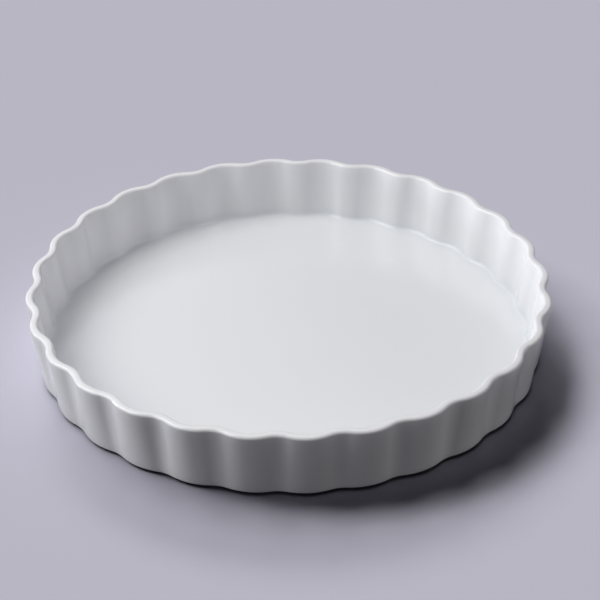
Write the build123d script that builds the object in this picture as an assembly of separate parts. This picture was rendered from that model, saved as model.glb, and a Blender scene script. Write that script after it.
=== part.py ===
from build123d import *
from math import atan2, cos, degrees, pi, sin
import os

# Round fluted quiche dish in glazed porcelain. Lengths in millimetres, +Z up.
# The origin is the middle of the flat foot ring that the dish stands on, and a flute's crest lies on +X.

# Rim: the size over the crests of the flutes, and the form of one flute there
rim_diameter = 280.0
overall_height = 39.0
rim_flute_depth = 3.1
rim_valley_round = 11.0

# Foot of the wall: the dish flares up and out from here, and the flutes fade towards it
base_diameter = 268.8
base_flute_depth = 2.0
base_valley_round = 14.0
base_edge_round = 1.4

# Flutes round the wall, each a crest arc between two tighter valley arcs
flute_count = 28
crest_pieces = 3
valley_pieces = 1

# Thickness of the wall and floor, and the rounding of the lip and of the corner inside
rim_wall = 4.4
base_wall = 5.0
floor_thickness = 4.4
lip_round = 2.0
lip_steps = 2
corner_round = 4.2
corner_steps = 2

# Foot ring, turned true and left bare where it stands, set back from the rounded lower edge of the valleys
foot_ring_setback = 4.0
foot_ring_width = 5.0
foot_ring_height = 1.4
foot_ring_chamfer = 0.6

# Glaze that settles level on the floor of the well and inside the foot ring
well_glaze_thickness = 0.4
well_glaze_margin = 0.6
recess_glaze_thickness = 0.4

# How far a cutting shape runs past the face that it opens
overrun = 2.0

quarter_turn = pi / 2
half_flute = pi / flute_count
floor_height = foot_ring_height + floor_thickness
lip_start = overall_height - lip_round
waist_height = overall_height / 2
foot_ring_radius = base_diameter / 2 - base_flute_depth - base_edge_round - foot_ring_setback


def between(low, high, height):
    """Value at a height on the straight flare from the foot of the wall to the start of the lip."""
    share = (height - foot_ring_height) / (lip_start - foot_ring_height)
    return low + (high - low) * share


def arc(centre_distance, direction, radius, facing, half_span, height, pieces):
    """Arc about a centre out on a ray, in equal pieces, turning anticlockwise."""
    centre = Plane((centre_distance * cos(direction), centre_distance * sin(direction), height))
    step = 2 * half_span / pieces
    start = facing - half_span
    turns = [start + step * index for index in range(pieces + 1)]
    return [Edge.make_circle(radius, centre, degrees(a), degrees(b)) for a, b in zip(turns, turns[1:])]


def fluted_face(height, inset):
    """Level face inside the fluted outline of the wall, drawn in from its outer skin by an inset."""
    crest = between(base_diameter, rim_diameter, height) / 2 - inset
    depth = between(base_flute_depth, rim_flute_depth, height)
    valley_radius = between(base_valley_round, rim_valley_round, height) + inset
    valley_centre = crest - depth + valley_radius

    # The crest arc's radius makes it meet the valley arc without a kink
    reach = crest**2 + valley_centre**2 - 2 * crest * valley_centre * cos(half_flute)
    room = valley_radius + crest - valley_centre * cos(half_flute)
    crest_radius = (reach - valley_radius**2) / (2 * room)
    crest_centre = crest - crest_radius
    crest_span = atan2(valley_centre * sin(half_flute), valley_centre * cos(half_flute) - crest_centre)
    valley_span = crest_span - half_flute

    edges = []
    for flute in range(flute_count):
        ray = 2 * half_flute * flute
        dip = ray + half_flute
        edges += arc(crest_centre, ray, crest_radius, ray, crest_span, height, crest_pieces)
        edges += arc(valley_centre, dip, valley_radius, dip + pi, valley_span, height, valley_pieces)
    return Face(Wire(edges))


def rounding(radius, steps):
    """Steps of a quarter round: how far each has turned in, and how far it has risen."""
    turns = [quarter_turn * index / steps for index in range(steps + 1)]
    return [(radius * (1 - cos(turn)), radius * sin(turn)) for turn in turns]


def wall_at(height):
    """Thickness of the wall at a height."""
    return between(base_wall, rim_wall, height)


def outside_form():
    """Whole outside of the dish above its foot ring, from the rounded lower edge to the lip."""
    lower_edge = [
        fluted_face(foot_ring_height, base_edge_round),
        fluted_face(foot_ring_height + base_edge_round, 0),
    ]
    waist = [fluted_face(waist_height, 0)]
    lip = [fluted_face(lip_start + rise, turned) for turned, rise in rounding(lip_round, lip_steps)]
    return loft(lower_edge + waist + lip, ruled=True)


def inside_form():
    """Hollow of the dish, from the floor through its rounded corner to the lip, and on past it."""
    corner_top = floor_height + corner_round
    corner = [
        fluted_face(corner_top - rise, wall_at(corner_top - rise) + turned)
        for turned, rise in reversed(rounding(corner_round, corner_steps))
    ]
    waist = [fluted_face(waist_height, wall_at(waist_height))]
    lip = [
        fluted_face(lip_start + rise, wall_at(lip_start + rise) - turned)
        for turned, rise in rounding(lip_round, lip_steps)
    ]
    above = [fluted_face(overall_height + overrun, rim_wall - lip_round)]
    return loft(corner + waist + lip + above, ruled=True)


def foot_ring():
    """Plain ring under the floor, with both lower edges chamfered and a flat face to stand on."""
    outer = foot_ring_radius
    inner = outer - foot_ring_width
    profile = Polyline(
        (outer, foot_ring_height),
        (outer, foot_ring_chamfer),
        (outer - foot_ring_chamfer, 0),
        (inner + foot_ring_chamfer, 0),
        (inner, foot_ring_chamfer),
        (inner, foot_ring_height),
        close=True,
    )
    return revolve(Plane.XZ * make_face(profile), Axis.Z)


def porcelain_body():
    """Fired porcelain: floor, fluted wall, lip and foot ring, pressed in one piece."""
    return outside_form() - inside_form() + foot_ring()


def well_glaze():
    """Glaze lying level on the floor of the well, in to the foot of the rounded corner."""
    inset = wall_at(floor_height) + corner_round + well_glaze_margin
    return extrude(fluted_face(floor_height, inset), well_glaze_thickness)


def recess_glaze():
    """Glaze lying in the recess inside the foot ring, cut off all round by the bare ring."""
    radius = foot_ring_radius - foot_ring_width
    disc = Face(Wire([Edge.make_circle(radius, Plane((0, 0, foot_ring_height)))]))
    return extrude(disc, recess_glaze_thickness, dir=(0, 0, -1))


os.makedirs("parts", exist_ok=True)
export_step(porcelain_body(), "parts/porcelain_body.step")
export_step(well_glaze(), "parts/well_glaze.step")
export_step(recess_glaze(), "parts/recess_glaze.step")
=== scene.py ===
"""White porcelain quiche dish with a fluted wall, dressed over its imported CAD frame.

Lengths are in metres and angles in radians, unless a name ends in mm or degrees. The dish stands on its
bare foot ring at z = 0, its well opens up +Z, and the crest of one flute lies on +X.
"""
import logging
import math
from dataclasses import dataclass
from enum import Enum

import bmesh
import bpy
from mathutils import Matrix, Vector


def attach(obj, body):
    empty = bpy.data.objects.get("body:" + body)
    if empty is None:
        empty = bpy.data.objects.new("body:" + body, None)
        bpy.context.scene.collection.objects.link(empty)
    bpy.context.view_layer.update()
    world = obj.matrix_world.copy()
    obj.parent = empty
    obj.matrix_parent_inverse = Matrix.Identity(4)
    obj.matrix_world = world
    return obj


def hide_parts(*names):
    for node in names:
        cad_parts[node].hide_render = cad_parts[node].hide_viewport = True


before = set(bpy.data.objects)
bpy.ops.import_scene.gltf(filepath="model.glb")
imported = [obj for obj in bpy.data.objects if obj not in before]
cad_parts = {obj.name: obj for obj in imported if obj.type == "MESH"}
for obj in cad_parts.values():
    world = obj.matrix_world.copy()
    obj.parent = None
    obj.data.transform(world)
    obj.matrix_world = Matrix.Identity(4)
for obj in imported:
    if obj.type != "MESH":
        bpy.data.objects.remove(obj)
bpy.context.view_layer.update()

log = logging.getLogger("quiche_dish")

MM = 0.001
FULL_TURN = 2 * math.pi
ROOT_BODY = "root"
# Carries the glaze depth and painted light: a painted highlight on the lip, painted shade in the corner
# of the well
GLAZE_AND_PAINTED_LIGHT = "glaze_and_painted_light"

# A Mix node gives its number, vector and colour sockets the same names, so its colours go by place
MIX_FIRST_COLOUR = 6
MIX_SECOND_COLOUR = 7
MIX_RESULT_COLOUR = 2

Colour = tuple[float, float, float]


class Node(Enum):
    """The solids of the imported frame."""

    BODY = "porcelain_body"
    WELL = "well_glaze"
    RECESS = "recess_glaze"


class Slot(Enum):
    """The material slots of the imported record."""

    GLAZED = "glazed_porcelain"
    POOLED = "pooled_glaze"
    BARE = "bare_porcelain"


def eased(share: float) -> float:
    """Share from 0 to 1 with a soft start and a soft end."""
    held = min(max(share, 0.0), 1.0)
    return held * held * (3 - 2 * held)


@dataclass(frozen=True)
class FluteOutline:
    """One flute of the wall seen from above: a broad crest arc between two narrow valley arcs.

    Args:
        crest: distance from the axis to the top of the crest.
        depth: how far the bottom of the valley lies behind the crest.
        valley_round: radius of the valley arc.
        half_flute: angle at the axis from the crest to the valley.
    """

    crest: float
    depth: float
    valley_round: float
    half_flute: float

    @property
    def valley_centre(self) -> float:
        """Distance from the axis to the centre of the valley arc."""
        return self.crest - self.depth + self.valley_round

    @property
    def crest_round(self) -> float:
        """Radius of the crest arc that meets the valley arc without a kink.

        Returns:
            The radius.
        """
        level = self.valley_centre * math.cos(self.half_flute)
        reach = self.crest**2 + self.valley_centre**2 - 2 * self.crest * level
        return (reach - self.valley_round**2) / (2 * (self.valley_round + self.crest - level))

    def radius_at(self, turn: float) -> float:
        """Distance from the axis to the outline.

        Args:
            turn: angle round the axis, from any crest.

        Returns:
            The distance along the ray at that angle.
        """
        flute = 2 * self.half_flute
        off_crest = abs((turn + self.half_flute) % flute - self.half_flute)
        crest_centre = self.crest - self.crest_round
        aside = self.valley_centre * math.sin(self.half_flute)
        ahead = self.valley_centre * math.cos(self.half_flute) - crest_centre
        joint_turn = math.atan2(aside, ahead)
        joint_y = self.crest_round * math.sin(joint_turn)
        joint_x = crest_centre + self.crest_round * math.cos(joint_turn)
        if off_crest <= math.atan2(joint_y, joint_x):
            across = crest_centre * math.sin(off_crest)
            return crest_centre * math.cos(off_crest) + math.sqrt(self.crest_round**2 - across**2)
        off_valley = self.half_flute - off_crest
        across = self.valley_centre * math.sin(off_valley)
        return self.valley_centre * math.cos(off_valley) - math.sqrt(self.valley_round**2 - across**2)


@dataclass(frozen=True)
class FlutedWall:
    """The flared wall, whose flutes are deep at the rim and fade towards the foot.

    Args:
        flute_count: flutes round the wall.
        foot_height: where the flare starts.
        lip_start: where the flare reaches the rim's sizes.
        rim_crest: distance from the axis to the top of a crest at the rim.
        rim_flute_depth: how far a valley lies behind the crests at the rim.
        rim_valley_round: radius of a valley at the rim.
        rim_wall: thickness of the wall at the rim.
        base_crest: distance from the axis to the top of a crest at the foot.
        base_flute_depth: how far a valley lies behind the crests at the foot.
        base_valley_round: radius of a valley at the foot.
        base_wall: thickness of the wall at the foot.
        ring_radius: outside of the foot ring, which is plain and round.
        floor_split: height that parts the underside from the well.
        edge_inset: how far in from the outer skin the flutes keep their depth on the underside.
        well_inset: how far in from the outer skin the flutes keep their depth in the well.
        well_calm_radius: distance from the axis up to which the floor of the well is plain and round.
    """

    flute_count: int = 28
    foot_height: float = 1.4 * MM
    lip_start: float = 37.0 * MM
    rim_crest: float = 139.88 * MM
    rim_flute_depth: float = 3.1 * MM
    rim_valley_round: float = 15.0 * MM
    rim_wall: float = 4.4 * MM
    base_crest: float = 134.4 * MM
    base_flute_depth: float = 2.0 * MM
    base_valley_round: float = 18.0 * MM
    base_wall: float = 5.0 * MM
    ring_radius: float = 127.0 * MM
    floor_split: float = 4.0 * MM
    edge_inset: float = 1.6 * MM
    well_inset: float = 10.2 * MM
    well_calm_radius: float = 104.0 * MM

    @property
    def half_flute(self) -> float:
        """Angle at the axis from a crest to the next valley."""
        return math.pi / self.flute_count

    def between(self, low: float, high: float, height: float) -> float:
        """Value at a height on the straight flare from the foot of the wall to the start of the lip."""
        return low + (high - low) * (height - self.foot_height) / (self.lip_start - self.foot_height)

    def crest(self, height: float) -> float:
        """Distance from the axis to the outer skin at a crest."""
        return self.between(self.base_crest, self.rim_crest, height)

    def thickness(self, height: float) -> float:
        """Thickness of the wall at a height."""
        return self.between(self.base_wall, self.rim_wall, height)

    def outline(self, height: float, inset: float) -> FluteOutline:
        """Outline of the wall at one level.

        Args:
            height: the level.
            inset: how far the outline is drawn in from the outer skin.

        Returns:
            One flute of the outline.
        """
        depth = self.between(self.base_flute_depth, self.rim_flute_depth, height)
        valley_round = self.between(self.base_valley_round, self.rim_valley_round, height) + inset
        return FluteOutline(self.crest(height) - inset, depth, valley_round, self.half_flute)

    def fluted(self, place: Vector) -> Vector:
        """Moves a point of the plain turned form along its ray, onto the fluted form.

        Args:
            place: a point on the form turned from the profile at a crest.

        Returns:
            The same point on the fluted form.
        """
        radius = math.hypot(place.x, place.y)
        if radius <= self.ring_radius and place.z < self.floor_split:
            return place.copy()
        turn = math.atan2(place.y, place.x)
        full, calm = self.edge_inset, self.ring_radius
        if place.z > self.floor_split:
            full, calm = self.well_inset, self.well_calm_radius
        inset = self.crest(place.z) - radius
        edge = self.crest(place.z) - full
        moved = self.outline(place.z, min(inset, full)).radius_at(turn) - max(radius, edge)
        share = eased((radius - calm) / (edge - calm))
        scale = (radius + moved * share) / radius if radius else 1.0
        return Vector((place.x * scale, place.y * scale, place.z))


@dataclass(frozen=True)
class Corner:
    """A corner of a turned piece's profile.

    Args:
        radius: distance from the axis.
        height: height above the table.
        rounding: radius of the round put on it, or 0 for a sharp corner.
    """

    radius: float
    height: float
    rounding: float = 0.0


@dataclass(frozen=True)
class Lathe:
    """Turns a profile about the upright axis into a closed mesh.

    Args:
        sectors: equal parts of the full turn.
        steps_to_a_sector: faces round each part.
        round_segments: faces along each rounded corner of the profile.
        weld: points nearer than this become one.
    """

    sectors: int = 28
    steps_to_a_sector: int = 32
    round_segments: int = 6
    weld: float = 0.001 * MM

    def rounded_profile(self, corners: list[Corner]) -> bmesh.types.BMesh:
        """Draws the profile as a closed outline with its corners rounded.

        Args:
            corners: the profile in order, its first and last corner on the axis or closing a ring.

        Returns:
            A bmesh that holds the outline's edges and no face.
        """
        bm = bmesh.new()
        verts = [bm.verts.new((c.radius, 0.0, c.height)) for c in corners]
        bm.faces.new(verts)
        offsets = []
        for before, corner, after in zip(corners[-1:] + corners[:-1], corners, corners[1:] + corners[:1]):
            here = Vector((corner.radius, corner.height))
            back = Vector((before.radius, before.height)) - here
            ahead = Vector((after.radius, after.height)) - here
            offsets.append(corner.rounding / math.tan(back.angle(ahead) / 2) if corner.rounding else 0.0)
        for vert, offset in zip(verts, offsets):
            if offset:
                bmesh.ops.bevel(
                    bm,
                    geom=[vert],
                    offset=offset,
                    offset_type="OFFSET",
                    segments=self.round_segments,
                    profile=0.5,
                    affect="VERTICES",
                    material=-1,
                )
        bmesh.ops.delete(bm, geom=bm.faces[:], context="FACES_ONLY")
        return bm

    def divided(
        self, bm: bmesh.types.BMesh, edges: list[bmesh.types.BMEdge], longest: float
    ) -> None:
        """Divides the edges of a profile that are too long into equal rows.

        Args:
            bm: the profile.
            edges: those of its edges that this length goes for.
            longest: how long an edge may stay.
        """
        for edge in edges:
            rows = math.ceil(edge.calc_length() / longest)
            if rows > 1:
                bmesh.ops.subdivide_edges(bm, edges=[edge], cuts=rows - 1)

    def turned(self, bm: bmesh.types.BMesh) -> None:
        """Turns the profile into a closed mesh that faces outwards.

        One sector is turned and then repeated round the axis, which is far quicker than one long spin.

        Args:
            bm: the profile, which becomes the mesh.
        """
        on_axis = [e for e in bm.edges if max(abs(v.co.x) for v in e.verts) < self.weld]
        bmesh.ops.delete(bm, geom=on_axis, context="EDGES")
        sector = FULL_TURN / self.sectors
        bmesh.ops.spin(
            bm,
            geom=bm.verts[:] + bm.edges[:],
            cent=(0.0, 0.0, 0.0),
            axis=(0.0, 0.0, 1.0),
            dvec=(0.0, 0.0, 0.0),
            angle=sector,
            steps=self.steps_to_a_sector,
        )
        bmesh.ops.spin(
            bm,
            geom=bm.verts[:] + bm.edges[:] + bm.faces[:],
            cent=(0.0, 0.0, 0.0),
            axis=(0.0, 0.0, 1.0),
            dvec=(0.0, 0.0, 0.0),
            angle=FULL_TURN - sector,
            steps=self.sectors - 1,
            use_duplicate=True,
        )
        bmesh.ops.remove_doubles(bm, verts=bm.verts[:], dist=self.weld)
        bmesh.ops.recalc_face_normals(bm, faces=bm.faces[:])


@dataclass(frozen=True)
class Mottle:
    """An uneven pattern in a finish.

    Args:
        scale: patches to the metre.
        detail: how many finer layers it has.
        roughness: how strong the finer layers are.
    """

    scale: float
    detail: float
    roughness: float


class Shader:
    """A material under construction, with short ways to add and join its nodes."""

    def __init__(self, name: str) -> None:
        """Makes an empty node material with one Principled shader.

        Args:
            name: the material's name.
        """
        self.material = bpy.data.materials.new(name)
        self.material.use_nodes = True
        self.tree = self.material.node_tree
        self.surface = self.tree.nodes["Principled BSDF"]

    def add(self, kind: str, **values: object) -> bpy.types.Node:
        """Adds a node and sets its properties and unlinked sockets.

        Args:
            kind: the node's type, without its ShaderNode prefix.
            values: property or socket names, in lower case with underscores, and their values.

        Returns:
            The new node.
        """
        node = self.tree.nodes.new("ShaderNode" + kind)
        for name, value in values.items():
            if hasattr(node, name):
                setattr(node, name, value)
            else:
                node.inputs[name.replace("_", " ").title()].default_value = value
        return node

    def join(self, output: bpy.types.NodeSocket, target: bpy.types.NodeSocket) -> None:
        """Links an output to an input."""
        self.tree.links.new(output, target)

    def noise(self, mottle: Mottle) -> bpy.types.NodeSocket:
        """Noise in the piece's own coordinates.

        Args:
            mottle: its size and detail.

        Returns:
            The socket that gives the noise, from 0 to 1.
        """
        place = self.add("TexCoord")
        noise = self.add(
            "TexNoise", scale=mottle.scale, detail=mottle.detail, roughness=mottle.roughness
        )
        self.join(place.outputs["Object"], noise.inputs["Vector"])
        return noise.outputs["Fac"]

    def ranged(
        self,
        source: bpy.types.NodeSocket,
        low: float,
        high: float,
        start: float = 0.3,
        end: float = 0.7,
    ) -> bpy.types.NodeSocket:
        """Maps a value onto a range.

        Args:
            source: the socket with the value.
            low: what start becomes.
            high: what end becomes.
            start: lower end of the value.
            end: upper end of the value.

        Returns:
            The socket with the mapped value.
        """
        node = self.add("MapRange", from_min=start, from_max=end, to_min=low, to_max=high)
        self.join(source, node.inputs["Value"])
        return node.outputs["Result"]

    def mixed(
        self, share: bpy.types.NodeSocket, first: Colour, second: Colour
    ) -> bpy.types.NodeSocket:
        """Mixes two colours.

        Args:
            share: the socket with the share of the second colour.
            first: the colour at 0.
            second: the colour at 1.

        Returns:
            The socket with the mixed colour.
        """
        node = self.add("Mix", data_type="RGBA")
        self.join(share, node.inputs["Factor"])
        node.inputs[MIX_FIRST_COLOUR].default_value = (*first, 1.0)
        node.inputs[MIX_SECOND_COLOUR].default_value = (*second, 1.0)
        return node.outputs[MIX_RESULT_COLOUR]

    def bumped(
        self,
        height: bpy.types.NodeSocket,
        distance: float,
        under: bpy.types.NodeSocket | None = None,
    ) -> bpy.types.NodeSocket:
        """Raises the surface by a height.

        Args:
            height: the socket with the height, from 0 to 1.
            distance: how high 1 stands.
            under: the normal of a bump that this one lies on.

        Returns:
            The socket with the normal.
        """
        node = self.add("Bump", strength=1.0, distance=distance)
        self.join(height, node.inputs["Height"])
        if under:
            self.join(under, node.inputs["Normal"])
        return node.outputs["Normal"]


@dataclass(frozen=True)
class GlossyGlaze:
    """Clear glossy glaze over white porcelain: darker and cooler where it pools in the corner of the
    well, partly pooled glaze and partly painted shade; lighter on the lip, partly glaze run off and
    partly a painted highlight.

    Args:
        name: the material's name.
        thin_and_highlit: its colour on the lip, where the glaze has run off, lightened as a painted
            highlight.
        pooled_and_shaded: its colour where the glaze pools in the corner of the well, darkened partly as
            painted shade.
        gloss_low: roughness of its glossiest patches.
        gloss_high: roughness of its dullest patches.
        refraction: index of refraction.
        handling: the patches that differ in gloss.
        ripple: the slow waves left by the dipping.
        ripple_height: how high they stand.
        peel: the fine unevenness left by the firing.
        peel_height: how high it stands.
    """

    name: str = "glazed_porcelain"
    thin_and_highlit: Colour = (0.885, 0.885, 0.90)
    pooled_and_shaded: Colour = (0.81, 0.835, 0.86)
    gloss_low: float = 0.15
    gloss_high: float = 0.19
    refraction: float = 1.5
    handling: Mottle = Mottle(18.0, 3.0, 0.5)
    ripple: Mottle = Mottle(55.0, 1.0, 0.4)
    ripple_height: float = 0.05 * MM
    peel: Mottle = Mottle(420.0, 2.0, 0.5)
    peel_height: float = 0.0015 * MM

    def made(self) -> bpy.types.Material:
        """Makes the material.

        Returns:
            The glaze.
        """
        shader = Shader(self.name)
        # Painted light: the lip gets the lighter colour as a painted highlight, the corner of the well
        # the darker one as painted shade
        depth = shader.add("Attribute", attribute_name=GLAZE_AND_PAINTED_LIGHT)
        colour = shader.mixed(depth.outputs["Fac"], self.thin_and_highlit, self.pooled_and_shaded)
        shader.join(colour, shader.surface.inputs["Base Color"])
        gloss = shader.ranged(shader.noise(self.handling), self.gloss_low, self.gloss_high)
        shader.join(gloss, shader.surface.inputs["Roughness"])
        ripple = shader.bumped(shader.noise(self.ripple), self.ripple_height)
        peel = shader.bumped(shader.noise(self.peel), self.peel_height, ripple)
        shader.join(peel, shader.surface.inputs["Normal"])
        shader.surface.inputs["IOR"].default_value = self.refraction
        return shader.material


@dataclass(frozen=True)
class BareBiscuit:
    """Unglazed fired porcelain: matt, finely grained and a little warmer, with a few grey rub marks.

    Args:
        name: the material's name.
        clean: its colour.
        rubbed: its colour where it has been rubbed.
        marks: the rub marks.
        mark_start: height of their pattern at which a mark starts.
        mark_full: height of their pattern from which a mark is full.
        grain: the grain of the fired body.
        grain_height: how high it stands.
        grain_low: roughness in its hollows.
        grain_high: roughness on its tops.
    """

    name: str = "bare_porcelain"
    clean: Colour = (0.74, 0.725, 0.69)
    rubbed: Colour = (0.60, 0.58, 0.545)
    marks: Mottle = Mottle(160.0, 6.0, 0.65)
    mark_start: float = 0.5
    mark_full: float = 0.75
    grain: Mottle = Mottle(2600.0, 4.0, 0.6)
    grain_height: float = 0.02 * MM
    grain_low: float = 0.62
    grain_high: float = 0.85

    def made(self) -> bpy.types.Material:
        """Makes the material.

        Returns:
            The bare porcelain.
        """
        shader = Shader(self.name)
        rubbed = shader.ranged(shader.noise(self.marks), 0.0, 1.0, self.mark_start, self.mark_full)
        colour = shader.mixed(rubbed, self.clean, self.rubbed)
        shader.join(colour, shader.surface.inputs["Base Color"])
        grain = shader.noise(self.grain)
        shader.join(shader.bumped(grain, self.grain_height), shader.surface.inputs["Normal"])
        roughness = shader.ranged(grain, self.grain_low, self.grain_high)
        shader.join(roughness, shader.surface.inputs["Roughness"])
        return shader.material


@dataclass(frozen=True)
class BackdropPaper:
    """Plain matt studio paper in a pale lavender grey.

    Args:
        name: the material's name.
        light: colour of its lighter fibres.
        dark: colour of its darker fibres.
        fibre: the pattern of the fibres.
        roughness: how matt it is.
        sheen: how much it reflects.
    """

    name: str = "backdrop_paper"
    light: Colour = (0.545, 0.53, 0.62)
    dark: Colour = (0.535, 0.52, 0.61)
    fibre: Mottle = Mottle(700.0, 3.0, 0.6)
    roughness: float = 0.95
    sheen: float = 0.1

    def made(self) -> bpy.types.Material:
        """Makes the material.

        Returns:
            The paper.
        """
        shader = Shader(self.name)
        colour = shader.mixed(shader.noise(self.fibre), self.dark, self.light)
        shader.join(colour, shader.surface.inputs["Base Color"])
        shader.surface.inputs["Roughness"].default_value = self.roughness
        shader.surface.inputs["Specular IOR Level"].default_value = self.sheen
        return shader.material


def finished(
    bm: bmesh.types.BMesh, name: str, material: bpy.types.Material, slot: Slot, *nodes: Node
) -> bpy.types.Object:
    """Turns a bmesh into a shown piece of the dish.

    Args:
        bm: the closed form, in place. It is freed.
        name: the piece's name.
        material: its finish.
        slot: the record's slot that the finish stands for; not used.
        nodes: the solids that it stands for.

    Returns:
        The new object, riding on the dish's body.
    """
    mesh = bpy.data.meshes.new(name)
    bm.to_mesh(mesh)
    bm.free()
    mesh.materials.append(material)
    mesh.shade_smooth()
    piece = bpy.data.objects.new(name, mesh)
    bpy.context.scene.collection.objects.link(piece)
    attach(piece, ROOT_BODY)
    if nodes:
        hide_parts(*[node.value for node in nodes])
    log.info("%s: %d faces", name, len(mesh.polygons))
    return piece


@dataclass
class GlazedDish:
    """The dish under its glaze: floor, fluted wall, rounded lip, and foot ring down to the glaze line.

    Args:
        wall: the fluted wall.
        height: the dish's height.
        floor_top: height of the floor of the well.
        floor_underside: height of the floor's underside.
        glaze_line: height at which the glaze on the foot ring ends.
        ring_width: width of the foot ring.
        lip_round: rounding of the lip, outside and inside.
        well_round: rounding of the corner between floor and wall.
        lower_edge_round: rounding of the wall's lower edge.
        ring_root_round: rounding where the foot ring meets the underside.
        glaze_bead: rounding of the glaze where it ends.
        steps_to_a_flute: faces round each flute.
        longest_row: how long a face may be up the wall.
        floor_row: how long a face may be across the floor.
        usual_depth: depth of the glaze on the wall and floor, as a share of that in the corner.
        pool_and_shade_reach: how far from the corner the pooling glaze and its painted shade reach.
    """

    wall: FlutedWall
    height: float = 39.0 * MM
    floor_top: float = 6.2 * MM
    floor_underside: float = 1.4 * MM
    glaze_line: float = 0.62 * MM
    ring_width: float = 5.0 * MM
    lip_round: float = 1.5 * MM
    well_round: float = 2.4 * MM
    lower_edge_round: float = 1.0 * MM
    ring_root_round: float = 0.5 * MM
    glaze_bead: float = 0.12 * MM
    steps_to_a_flute: int = 32
    longest_row: float = 4.0 * MM
    floor_row: float = 14.0 * MM
    usual_depth: float = 0.4
    pool_and_shade_reach: float = 7.0 * MM

    @property
    def well_radius(self) -> float:
        """Distance from the axis to the corner of the well at a crest."""
        return self.wall.crest(self.floor_top) - self.wall.thickness(self.floor_top)

    def corners(self) -> list[Corner]:
        """The profile at a crest, from the underside out and up, over the lip and down into the well.

        Returns:
            The corners in order, the first and the last on the axis.
        """
        outer = self.wall.ring_radius
        inner = outer - self.ring_width
        lip = self.wall.crest(self.height)
        return [
            Corner(0.0, self.floor_underside),
            Corner(inner, self.floor_underside, self.ring_root_round),
            Corner(inner, self.glaze_line, self.glaze_bead),
            Corner(outer, self.glaze_line, self.glaze_bead),
            Corner(outer, self.floor_underside, self.ring_root_round),
            Corner(self.wall.crest(self.floor_underside), self.floor_underside, self.lower_edge_round),
            Corner(lip, self.height, self.lip_round),
            Corner(lip - self.wall.thickness(self.height), self.height, self.lip_round),
            Corner(self.well_radius, self.floor_top, self.well_round),
            Corner(self.well_radius - self.pool_and_shade_reach, self.floor_top),
            Corner(0.0, self.floor_top),
        ]

    def glaze_and_painted_light_at(self, place: Vector) -> float:
        """How deep the glaze lies on the turned form, with painted light mixed in: a painted highlight on
        the lip and painted shade in the corner of the well.

        Args:
            place: a point of the form before it is fluted.

        Returns:
            The share of the darker colour, from 0 on the lip, lightened there as a painted highlight, to
            1 where the glaze pools in the corner of the well, darkened there partly as painted shade.
        """
        wall = self.wall
        radius = math.hypot(place.x, place.y)
        # Lighter towards the lip: partly glaze running off, partly a painted highlight
        run_off_and_highlight = eased((place.z - wall.lip_start) / (self.height - wall.lip_start))
        off_corner = math.hypot(radius - self.well_radius, place.z - self.floor_top)
        outside = radius > wall.crest(place.z) - wall.thickness(place.z) / 2
        # Darker near the corner of the well: partly glaze that pools there, partly painted shade
        pool_and_shade_share = 0.0 if outside else 1 - eased(off_corner / self.pool_and_shade_reach)
        return (self.usual_depth + (1 - self.usual_depth) * pool_and_shade_share) * (1 - run_off_and_highlight)

    def build(self, material: bpy.types.Material) -> bpy.types.Object:
        """Builds and dresses the piece.

        Args:
            material: the glaze.

        Returns:
            The finished piece.
        """
        lathe = Lathe(self.wall.flute_count, self.steps_to_a_flute)
        bm = lathe.rounded_profile(self.corners())
        long_edges = [edge for edge in bm.edges if edge.calc_length() > self.floor_row]
        floors = [
            edge for edge in long_edges if max(v.co.x for v in edge.verts) < self.wall.ring_radius
        ]
        others = [edge for edge in bm.edges if edge not in floors]
        lathe.divided(bm, floors, self.floor_row)
        lathe.divided(bm, others, self.longest_row)
        lathe.turned(bm)
        # The depth paints light into the glaze: a highlight on the lip and shade in the corner of the
        # well
        depth = bm.verts.layers.float.new(GLAZE_AND_PAINTED_LIGHT)
        for vert in bm.verts:
            vert[depth] = self.glaze_and_painted_light_at(vert.co)
            vert.co = self.wall.fluted(vert.co)
        return finished(bm, "glazed_dish", material, Slot.GLAZED, Node.BODY, Node.WELL)


@dataclass
class BareFoot:
    """The bearing face of the foot ring, wiped clean of glaze before firing.

    Args:
        ring_radius: outside of the foot ring.
        ring_width: width of the foot ring.
        top: height up to which it stands, hidden by the glaze.
        set_in: how far it lies behind the skin of the glaze.
        chamfer: chamfer of both lower edges.
        edge_round: rounding where a chamfer meets the bearing face.
        steps_to_a_sector: faces round each sector.
    """

    ring_radius: float
    ring_width: float = 5.0 * MM
    top: float = 0.75 * MM
    set_in: float = 0.05 * MM
    chamfer: float = 0.6 * MM
    edge_round: float = 0.3 * MM
    steps_to_a_sector: int = 16

    def corners(self) -> list[Corner]:
        """The ring's section, set in under the edge of the glaze.

        Returns:
            The corners in order, which close a ring.
        """
        outer = self.ring_radius - self.set_in
        inner = self.ring_radius - self.ring_width + self.set_in
        return [
            Corner(inner + self.chamfer, 0.0, self.edge_round),
            Corner(outer - self.chamfer, 0.0, self.edge_round),
            Corner(outer, self.chamfer),
            Corner(outer, self.top),
            Corner(inner, self.top),
            Corner(inner, self.chamfer),
        ]

    def build(self, material: bpy.types.Material) -> bpy.types.Object:
        """Builds and dresses the piece.

        Args:
            material: the bare porcelain.

        Returns:
            The finished piece.
        """
        lathe = Lathe(steps_to_a_sector=self.steps_to_a_sector)
        bm = lathe.rounded_profile(self.corners())
        lathe.turned(bm)
        return finished(bm, "bare_foot", material, Slot.BARE)


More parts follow.
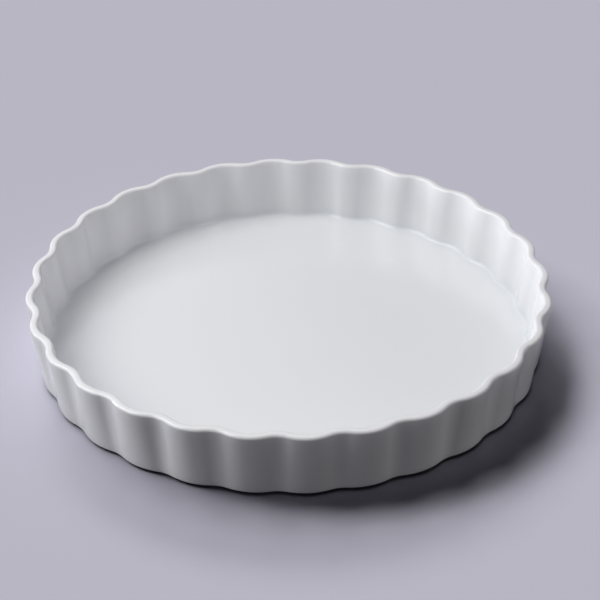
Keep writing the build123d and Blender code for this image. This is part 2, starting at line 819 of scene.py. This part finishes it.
@dataclass
class RecessPool:
    """Glaze that lies level in the recess inside the foot ring and creeps a little way down its flank.

    Args:
        radius: inside of the foot ring.
        low: height of the pool's face, which looks down.
        high: height of its back, just inside the floor.
        creep_low: how far down the ring's flank the glaze creeps.
        creep_width: how far from the flank the pool starts to creep.
        knee_width: distance from the flank of the bend in the creep.
        knee_low: height of that bend.
        row: how long a face may be across the pool.
        steps_to_a_sector: faces round each sector.
    """

    radius: float
    low: float = 1.0 * MM
    high: float = 1.42 * MM
    creep_low: float = 0.72 * MM
    creep_width: float = 1.4 * MM
    knee_width: float = 0.35 * MM
    knee_low: float = 0.9 * MM
    row: float = 12.0 * MM
    steps_to_a_sector: int = 16

    def corners(self) -> list[Corner]:
        """The pool's section, from its middle out to the creep on the ring's flank.

        Returns:
            The corners in order, the first and the last on the axis.
        """
        return [
            Corner(0.0, self.low),
            Corner(self.radius - self.creep_width, self.low),
            Corner(self.radius - self.knee_width, self.knee_low),
            Corner(self.radius, self.creep_low),
            Corner(self.radius, self.high),
            Corner(0.0, self.high),
        ]

    def build(self, material: bpy.types.Material) -> bpy.types.Object:
        """Builds and dresses the piece.

        Args:
            material: the glaze.

        Returns:
            The finished piece.
        """
        lathe = Lathe(steps_to_a_sector=self.steps_to_a_sector)
        bm = lathe.rounded_profile(self.corners())
        lathe.divided(bm, list(bm.edges), self.row)
        lathe.turned(bm)
        return finished(bm, "recess_pool", material, Slot.POOLED, Node.RECESS)


def towards(bearing_degrees: float, elevation_degrees: float) -> Vector:
    """Direction from the dish to a light.

    Args:
        bearing_degrees: where the light stands round the dish, from +X towards +Y.
        elevation_degrees: how high it stands over the table.

    Returns:
        The direction, of length 1.
    """
    bearing = math.radians(bearing_degrees)
    elevation = math.radians(elevation_degrees)
    level = math.cos(elevation)
    return Vector((level * math.cos(bearing), level * math.sin(bearing), math.sin(elevation)))


def hung(
    lamp: bpy.types.Light, direction: Vector, distance: float, lit: bpy.types.Collection
) -> bpy.types.Object:
    """Hangs a lamp, facing the dish.

    Args:
        lamp: the lamp.
        direction: where it hangs, seen from the dish.
        distance: how far it hangs from the dish.
        lit: the objects that it shines on.

    Returns:
        The light.
    """
    light = bpy.data.objects.new(lamp.name, lamp)
    light.location = direction * distance
    light.rotation_euler = direction.to_track_quat("Z", "Y").to_euler()
    light.light_linking.receiver_collection = lit
    bpy.context.scene.collection.objects.link(light)
    return light


@dataclass(frozen=True)
class Softbox:
    """A large round soft light for the dish, near enough to fall off a little across it.

    Args:
        name: the light's name.
        bearing_degrees: where it stands round the dish, from +X towards +Y.
        elevation_degrees: how high it stands over the table.
        wide_degrees: how wide it looks from the dish.
        strength: light that reaches a face turned to it, in watts to the square metre.
        colour: its colour.
        distance: how far it stands from the dish.
    """

    name: str
    bearing_degrees: float
    elevation_degrees: float
    wide_degrees: float
    strength: float
    colour: Colour
    distance: float = 2.2

    def hang(self, lit: bpy.types.Collection) -> bpy.types.Object:
        """Hangs the light.

        Args:
            lit: the objects that it shines on.

        Returns:
            The light.
        """
        lamp = bpy.data.lights.new(self.name, "AREA")
        lamp.shape = "DISK"
        lamp.size = 2 * self.distance * math.tan(math.radians(self.wide_degrees / 2))
        lamp.energy = math.pi * self.distance**2 * self.strength
        lamp.color = self.colour
        direction = towards(self.bearing_degrees, self.elevation_degrees)
        return hung(lamp, direction, self.distance, lit)


@dataclass(frozen=True)
class PaperLight:
    """A far soft light for the backdrop paper, which it lights evenly from edge to edge.

    Args:
        name: the light's name.
        bearing_degrees: where it stands round the dish, from +X towards +Y.
        elevation_degrees: how high it stands over the table.
        spread_degrees: how wide it looks from the dish.
        strength: light that reaches a face turned to it, in watts to the square metre.
        distance: how far off it is placed, which doesn't change its light.
    """

    name: str
    bearing_degrees: float
    elevation_degrees: float
    spread_degrees: float
    strength: float
    distance: float = 2.2

    def hang(self, lit: bpy.types.Collection) -> bpy.types.Object:
        """Hangs the light.

        Args:
            lit: the objects that it shines on.

        Returns:
            The light.
        """
        lamp = bpy.data.lights.new(self.name, "SUN")
        lamp.angle = math.radians(self.spread_degrees)
        lamp.energy = self.strength
        direction = towards(self.bearing_degrees, self.elevation_degrees)
        return hung(lamp, direction, self.distance, lit)


@dataclass(frozen=True)
class Studio:
    """Backdrop paper, soft lights on the dish and on the paper, a faint even fill, and the camera.

    Args:
        paper_size: side of the square of paper.
        softboxes: the lights on the dish.
        paper_lights: the lights on the paper.
        room_colour: colour of the room's walls.
        room_light: how strongly the room lights the dish and the paper.
        room_reflection: how bright the room looks in the glaze.
        camera_place: where the camera stands.
        camera_heading_degrees: how far it looks to the right of +Y.
        camera_drop_degrees: how far it looks down.
        camera_roll_degrees: how far it is tipped to the right.
        lens_mm: focal length, in millimetres.
        sensor_mm: width of the sensor, in millimetres.
    """

    paper_size: float = 8.0
    softboxes: tuple[Softbox, ...] = (
        Softbox("high_left_softbox", 170.0, 54.0, 40.0, 0.83, (1.005, 1.005, 1.0)),
        Softbox("left_softbox", 185.0, 44.0, 40.0, 1.48, (1.005, 1.005, 0.99)),
        Softbox("low_left_panel", 165.0, 4.0, 8.0, 0.83, (0.97, 0.98, 1.02)),
        Softbox("low_front_panel", 212.0, 6.0, 16.0, 0.29, (0.98, 0.94, 1.09)),
        Softbox("right_reflector", 340.0, 36.0, 60.0, 1.05, (1.0, 0.97, 1.01)),
        Softbox("back_softbox", 115.0, 50.0, 56.0, 0.76, (0.97, 0.98, 1.05)),
    )
    paper_lights: tuple[PaperLight, ...] = (
        PaperLight("paper_left", 160.0, 42.0, 18.0, 0.77),
        PaperLight("paper_high_left", 145.0, 58.0, 24.0, 1.10),
        PaperLight("paper_middle", 117.0, 50.0, 20.0, 0.77),
        PaperLight("paper_back", 100.0, 35.0, 16.0, 0.91),
        PaperLight("paper_far_back", 84.0, 35.0, 16.0, 0.31),
    )
    room_colour: Colour = (0.96, 0.96, 1.0)
    room_light: float = 0.004
    room_reflection: float = 0.4
    camera_place: tuple[float, float, float] = (-64.6 * MM, -969.6 * MM, 649.5 * MM)
    camera_heading_degrees: float = 4.163
    camera_drop_degrees: float = 32.574
    camera_roll_degrees: float = 0.512
    lens_mm: float = 129.0
    sensor_mm: float = 36.0

    def lay_paper(self, material: bpy.types.Material) -> bpy.types.Object:
        """Lays the backdrop paper under the dish.

        Args:
            material: the paper.

        Returns:
            The paper.
        """
        bm = bmesh.new()
        bmesh.ops.create_grid(bm, x_segments=1, y_segments=1, size=self.paper_size / 2)
        mesh = bpy.data.meshes.new("backdrop_paper")
        bm.to_mesh(mesh)
        bm.free()
        mesh.materials.append(material)
        paper = bpy.data.objects.new("backdrop_paper", mesh)
        bpy.context.scene.collection.objects.link(paper)
        # The dish's own lights stand for what the paper would throw back on it
        paper.visible_diffuse = False
        return paper

    def hang_lights(self, pieces: list[bpy.types.Object], paper: bpy.types.Object) -> None:
        """Hangs every light, each for what it shines on.

        Args:
            pieces: the pieces of the dish.
            paper: the backdrop paper.
        """
        lit = (
            ("lit_dish", pieces, self.softboxes),
            ("lit_paper", [paper], self.paper_lights),
        )
        for name, objects, lights in lit:
            group = bpy.data.collections.new(name)
            for item in objects:
                group.objects.link(item)
            for light in lights:
                light.hang(group)

    def fill_room(self) -> None:
        """Gives the room its faint even light, and the brighter walls that the glaze reflects."""
        world = bpy.data.worlds.new("studio_room")
        world.use_nodes = True
        tree = world.node_tree
        air = tree.nodes["Background"]
        air.inputs["Color"].default_value = (*self.room_colour, 1.0)
        ray = tree.nodes.new("ShaderNodeLightPath")
        strength = tree.nodes.new("ShaderNodeMapRange")
        strength.inputs["To Min"].default_value = self.room_light
        strength.inputs["To Max"].default_value = self.room_reflection
        tree.links.new(ray.outputs["Is Glossy Ray"], strength.inputs["Value"])
        tree.links.new(strength.outputs["Result"], air.inputs["Strength"])
        bpy.context.scene.world = world

    def set_camera(self) -> bpy.types.Object:
        """Sets the camera where the photograph was taken from.

        Returns:
            The camera.
        """
        lens = bpy.data.cameras.new("camera")
        lens.lens = self.lens_mm
        lens.sensor_width = self.sensor_mm
        camera = bpy.data.objects.new("camera", lens)
        heading = Matrix.Rotation(-math.radians(self.camera_heading_degrees), 4, "Z")
        tilt = Matrix.Rotation(math.radians(90.0 - self.camera_drop_degrees), 4, "X")
        roll = Matrix.Rotation(-math.radians(self.camera_roll_degrees), 4, "Z")
        camera.matrix_world = Matrix.Translation(self.camera_place) @ heading @ tilt @ roll
        bpy.context.scene.collection.objects.link(camera)
        bpy.context.scene.camera = camera
        return camera

    def build(self, material: bpy.types.Material, pieces: list[bpy.types.Object]) -> None:
        """Sets up the whole studio.

        Args:
            material: the backdrop paper.
            pieces: the pieces of the dish.
        """
        paper = self.lay_paper(material)
        self.hang_lights(pieces, paper)
        self.fill_room()
        self.set_camera()
        bpy.context.scene.view_settings.view_transform = "Standard"


def main() -> None:
    """Builds the dish piece by piece, then the studio round it."""
    logging.basicConfig(level=logging.INFO, format="%(message)s")
    wall = FlutedWall()
    dish = GlazedDish(wall)
    pieces = [
        dish.build(GlossyGlaze().made()),
        BareFoot(wall.ring_radius, dish.ring_width).build(BareBiscuit().made()),
        RecessPool(wall.ring_radius - dish.ring_width).build(GlossyGlaze(name="pooled_glaze").made()),
    ]
    Studio().build(BackdropPaper().made(), pieces)


if __name__ == "__main__":
    main()
